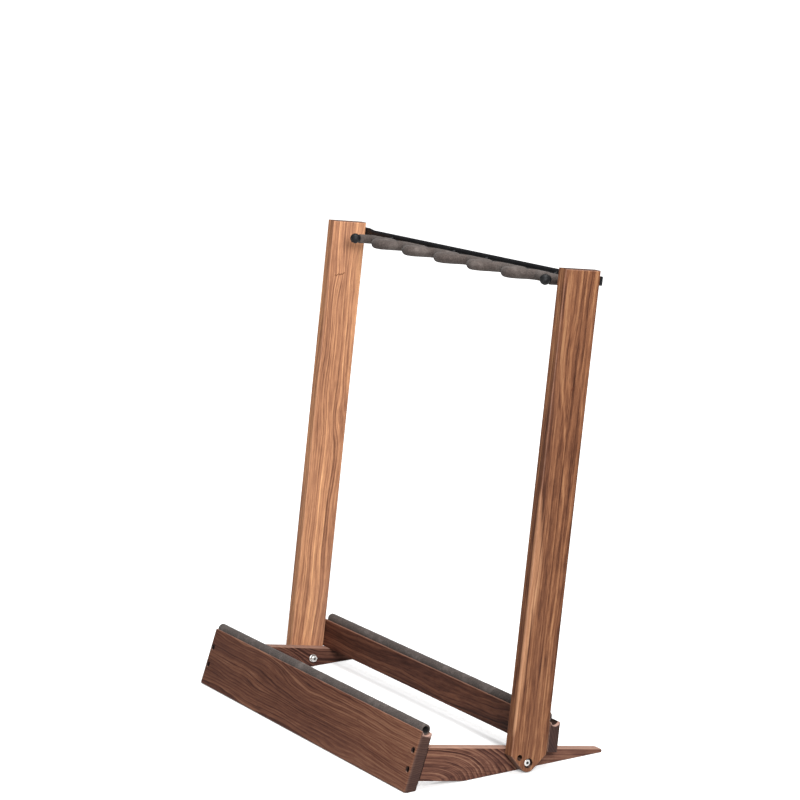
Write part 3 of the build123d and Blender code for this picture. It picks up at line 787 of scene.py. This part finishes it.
def soft_tube(name, points, turns, up, radius, bore, seed, lump=0.22 * MM, end_round=0.7 * MM):
    """A lumpy foam tube, folded on the inner side of bends, with rounded ends and a bore."""
    count = len(points)
    # spread each bend's start and end over seven rings
    turns = np.convolve(np.pad(np.array(turns), 3, mode="edge"), np.ones(7) / 7, mode="valid")
    run = [0.0]
    for i in range(1, count):
        run.append(run[-1] + (points[i] - points[i - 1]).length)
    bm = bmesh.new()
    outer, inner = [], []
    for i, point in enumerate(points):
        tangent = (points[min(i + 1, count - 1)] - points[max(i - 1, 0)]).normalized()
        side = up.cross(tangent).normalized()
        rise = tangent.cross(side).normalized()
        to_end = min(run[i], run[-1] - run[i])
        drop = 0.0
        if to_end < end_round:
            drop = end_round - math.sqrt(max(0.0, end_round ** 2 - (end_round - to_end) ** 2))
        outer_ring, inner_ring = [], []
        for j in range(TUBE_SEGMENTS):
            angle = 2 * math.pi * j / TUBE_SEGMENTS
            spoke = side * math.cos(angle) + rise * math.sin(angle)
            inside = max(0.0, math.cos(angle) * turns[i])
            outside = max(0.0, -math.cos(angle) * turns[i])
            skin = radius - drop
            skin -= (radius * FLATTEN_INSIDE * inside ** 2
                     + radius * FLATTEN_OUTSIDE * outside ** 2)
            phase = (run[i] / FOLD_PITCH * 2 * math.pi
                     + FOLD_WANDER * math.sin(angle * 2 + seed))
            skin += FOLD_DEPTH * math.sin(phase) * inside ** 1.2
            spot = point + spoke * radius
            skin += (lump * noise.noise(spot * LUMP_FREQUENCY + Vector((seed, 0, 0)))
                     + lump * 0.5 * noise.noise(spot * FINE_LUMP_FREQUENCY + Vector((0, seed, 0))))
            outer_ring.append(bm.verts.new(point + spoke * skin))
            wobble = 1 + BORE_WOBBLE * math.sin(3 * angle + seed)
            inner_ring.append(bm.verts.new(point + spoke * (bore * wobble)))
        outer.append(outer_ring)
        inner.append(inner_ring)
    pairs = [(j, (j + 1) % TUBE_SEGMENTS) for j in range(TUBE_SEGMENTS)]
    for i in range(count - 1):
        for j, k in pairs:
            bm.faces.new((outer[i][j], outer[i][k], outer[i + 1][k], outer[i + 1][j]))
            bm.faces.new((inner[i][j], inner[i + 1][j], inner[i + 1][k], inner[i][k]))
    for j, k in pairs:
        bm.faces.new((outer[0][j], inner[0][j], inner[0][k], outer[0][k]))
        bm.faces.new((outer[-1][j], outer[-1][k], inner[-1][k], inner[-1][j]))
    return smooth_object(name, bm, sharp_angle=math.radians(50))


def yoke_sleeve(name, corners, radius, seed, replaced):
    path = rounded_path(corners)
    points = [POST.at(x, back, YOKE_UP) for (x, back), _ in path]
    turns = [turn for _, turn in path]
    tube = soft_tube(name, points, turns, POST.up, radius, FOAM_BORE, seed)
    install(tube, foam, "upright", replaced)


def base_pad(name, centre, half_length, seed, replaced):
    """A straight pad along X, with extra rings close to its rounded ends."""
    count = int(2 * half_length / PAD_STEP)
    even = [-half_length + 2 * half_length * i / count for i in range(count + 1)]
    extra = [0.2 * MM, 0.5 * MM, 0.9 * MM]
    stations = (even[:1] + [-half_length + inset for inset in extra] + even[1:-1]
                + [half_length - inset for inset in reversed(extra)] + even[-1:])
    points = [Vector((x, centre.y, centre.z)) for x in stations]
    tube = soft_tube(name, points, [0.0] * len(points), Vector((0, 0, 1)), PAD_R, PAD_BORE,
                     seed, lump=0.18 * MM, end_round=0.6 * MM)
    install(tube, foam, "base", replaced)


def ball_cap(name, centre, axis):
    """Rubber ball with a flat front, a raised parting line and a collar round the rod."""
    rows, segments = 44, 56
    seam_height, seam_width = 0.12 * MM, 0.35 * MM
    mouth_r, socket_r = 5.2 * MM, 4.1 * MM
    axis = axis.normalized()
    across = axis.cross(X_AXIS).normalized()
    profile = []        # (distance along the axis, radius)
    for i in range(rows + 1):
        angle = math.pi * i / rows
        along, radius = -BALL_R * math.cos(angle), BALL_R * math.sin(angle)
        if along < -BALL_R * 0.97:
            along = -BALL_R * 0.975
        radius += seam_height * math.exp(-(along / seam_width) ** 2)
        if along <= 0 or radius >= mouth_r:
            profile.append((along, radius))
    mouth = profile[-1][0]
    profile += [(mouth + 0.0003, 0.00525), (mouth + 0.0012, 0.00515), (mouth + 0.0016, 0.0049),
                (mouth + 0.0017, 0.0045), (mouth + 0.0015, socket_r), (0.0, socket_r)]
    bm = bmesh.new()
    tip = bm.verts.new(centre + axis * profile[0][0])
    rings = []
    for along, radius in profile[1:]:
        ring = []
        for j in range(segments):
            angle = 2 * math.pi * j / segments
            spoke = X_AXIS * math.cos(angle) + across * math.sin(angle)
            ring.append(bm.verts.new(centre + axis * along + spoke * radius))
        rings.append(ring)
    pairs = [(j, (j + 1) % segments) for j in range(segments)]
    for j, k in pairs:
        bm.faces.new((tip, rings[0][k], rings[0][j]))
    for ring, following in zip(rings, rings[1:]):
        for j, k in pairs:
            bm.faces.new((ring[j], ring[k], following[k], following[j]))
    bm.faces.new(rings[-1])
    return smooth_object(name, bm)


SIDES = ((-1, "left"), (1, "right"))
for i in range(-2, 3):
    middle = i * PITCH
    left, right = middle - LEG / 2, middle + LEG / 2
    corners = [(middle - PITCH / 2 + SLEEVE_GAP, YOKE_REAR), (left, YOKE_REAR),
               (left, YOKE_FRONT), (right, YOKE_FRONT), (right, YOKE_REAR),
               (middle + PITCH / 2 - SLEEVE_GAP, YOKE_REAR)]
    yoke_sleeve("foam_finger_%d" % (i + 3), corners, FOAM_R, 3.1 + i * 2.7,
                "finger_sleeve_%d" % (i + 3))
for side, word in SIDES:
    corners = [(side * (2.5 * PITCH + SLEEVE_GAP), YOKE_REAR), (side * END_X, YOKE_REAR),
               (side * END_X, END_BACK + BALL_R - BALL_OVERLAP)]
    yoke_sleeve("foam_end_" + word, corners, END_FOAM_R, 9.0 + side, word + "_end_sleeve")
base_pad("foam_tube_front", FRONT_PAD, FRONT_PAD_HALF, 2.2, "front_rest_pad")
base_pad("foam_tube_rear", REAR_PAD, REAR_PAD_HALF, 7.4, "rear_rest_pad")
for side, word in SIDES:
    ball = ball_cap("rubber_ball_" + word, POST.at(side * END_X, END_BACK, YOKE_UP), POST.back)
    install(ball, rubber, "upright", word + "_ball_cap")


# ---------------------------------------------------------------------------
# floor, world, lights, camera
# ---------------------------------------------------------------------------
def floor_paper(name):
    """White to the camera and glowing with distance; a mid-grey diffuse to other rays."""
    bounce_colour = (0.42, 0.42, 0.42, 1.0)
    net = Nodes(name)
    cloud = net.noise(net.point, scale=3.0)
    colour = net.ramp(cloud, (0.3, (0.92, 0.92, 0.92)), (0.7, (0.94, 0.94, 0.94)))
    net.finish(Base_Color=colour, Roughness=0.85, Specular_IOR_Level=0.0)
    far = net.smooth(net.vec("LENGTH", net.point), lo=0.9, hi=2.6, out_lo=0.36)
    glow = net.new("Emission")
    net.put(glow.inputs["Strength"], far)
    bright = net.new("AddShader")
    net.link(net.bsdf.outputs[0], bright.inputs[0])
    net.link(glow.outputs[0], bright.inputs[1])
    paper = net.new("BsdfDiffuse")
    paper.inputs["Color"].default_value = bounce_colour
    ray = net.new("LightPath").outputs
    pick = net.new("MixShader")
    seen = net.math("MAXIMUM", Value(net, ray["Is Camera Ray"]),
                    Value(net, ray["Is Glossy Ray"]) * 0.7)
    net.put(pick.inputs[0], seen)
    net.link(paper.outputs[0], pick.inputs[1])
    net.link(bright.outputs[0], pick.inputs[2])
    net.link(pick.outputs[0], net.out.inputs[0])
    return net.mat


def build_floor(half=30, height=-0.0002):
    mesh = bpy.data.meshes.new("floor")
    corners = [(-half, -half), (half, -half), (half, half), (-half, half)]
    mesh.from_pydata([(x, y, height) for x, y in corners], [], [(0, 1, 2, 3)])
    floor = add_object("floor", mesh)
    mesh.materials.append(floor_paper("floor_paper"))


def build_world(seen_strength, light_strength):
    """White all round, brighter to the camera than it lights the scene."""
    world = bpy.data.worlds.new("studio")
    bpy.context.scene.world = world
    world.use_nodes = True
    nodes, links = world.node_tree.nodes, world.node_tree.links
    nodes.clear()
    path = nodes.new("ShaderNodeLightPath")
    both = nodes.new("ShaderNodeMixShader")
    links.new(path.outputs["Is Camera Ray"], both.inputs[0])
    for i, strength in ((1, light_strength), (2, seen_strength)):
        background = nodes.new("ShaderNodeBackground")
        background.inputs[0].default_value = (1.0, 1.0, 1.0, 1.0)
        background.inputs[1].default_value = strength
        links.new(background.outputs[0], both.inputs[i])
    output = nodes.new("ShaderNodeOutputWorld")
    links.new(both.outputs[0], output.inputs[0])


def area(name, location, target, size, power):
    light = bpy.data.lights.new(name, "AREA")
    light.shape, light.size, light.energy = "DISK", size, power
    obj = bpy.data.objects.new(name, light)
    obj.location = location
    obj.rotation_mode = "QUATERNION"
    obj.rotation_quaternion = (Vector(target) - Vector(location)).to_track_quat("-Z", "Y")
    bpy.context.scene.collection.objects.link(obj)


def build_camera(position, azimuth, elevation, roll, lens):
    """Azimuth turns from +Y toward -X; angles in degrees, lens in mm on a 36 mm sensor."""
    data = bpy.data.cameras.new("camera")
    camera = add_object("camera", data)
    azimuth, elevation, roll = map(math.radians, (azimuth, elevation, roll))
    forward = Vector((-math.sin(azimuth) * math.cos(elevation),
                      math.cos(azimuth) * math.cos(elevation), math.sin(elevation)))
    level = Vector((math.cos(azimuth), math.sin(azimuth), 0.0))
    above = level.cross(forward)
    right = level * math.cos(roll) + above * math.sin(roll)
    up = -level * math.sin(roll) + above * math.cos(roll)
    turn = Matrix((right, up, -forward)).transposed().to_4x4()
    camera.matrix_world = Matrix.Translation(position) @ turn
    data.sensor_fit = "HORIZONTAL"
    data.sensor_width = 36.0
    data.lens = lens
    data.clip_start, data.clip_end = 0.1, 100.0
    bpy.context.scene.camera = camera


build_floor()
build_world(seen_strength=1.0, light_strength=0.22)
area("key", location=(3.2, -1.1, 1.9), target=(0.1, 0.05, 0.40), size=1.4, power=140)
area("top", location=(0.5, 0.3, 3.4), target=(0.0, 0.0, 0.2), size=2.2, power=110)
area("front", location=(-0.4, -3.8, 1.2), target=(0.0, 0.0, 0.3), size=2.0, power=5)
build_camera(position=(3.412573, -2.066991, 1.280331), azimuth=58.594, elevation=-11.044,
             roll=-0.299, lens=120.186)
bpy.context.scene.view_settings.view_transform = "Standard"
bpy.context.scene.view_settings.look = "None"
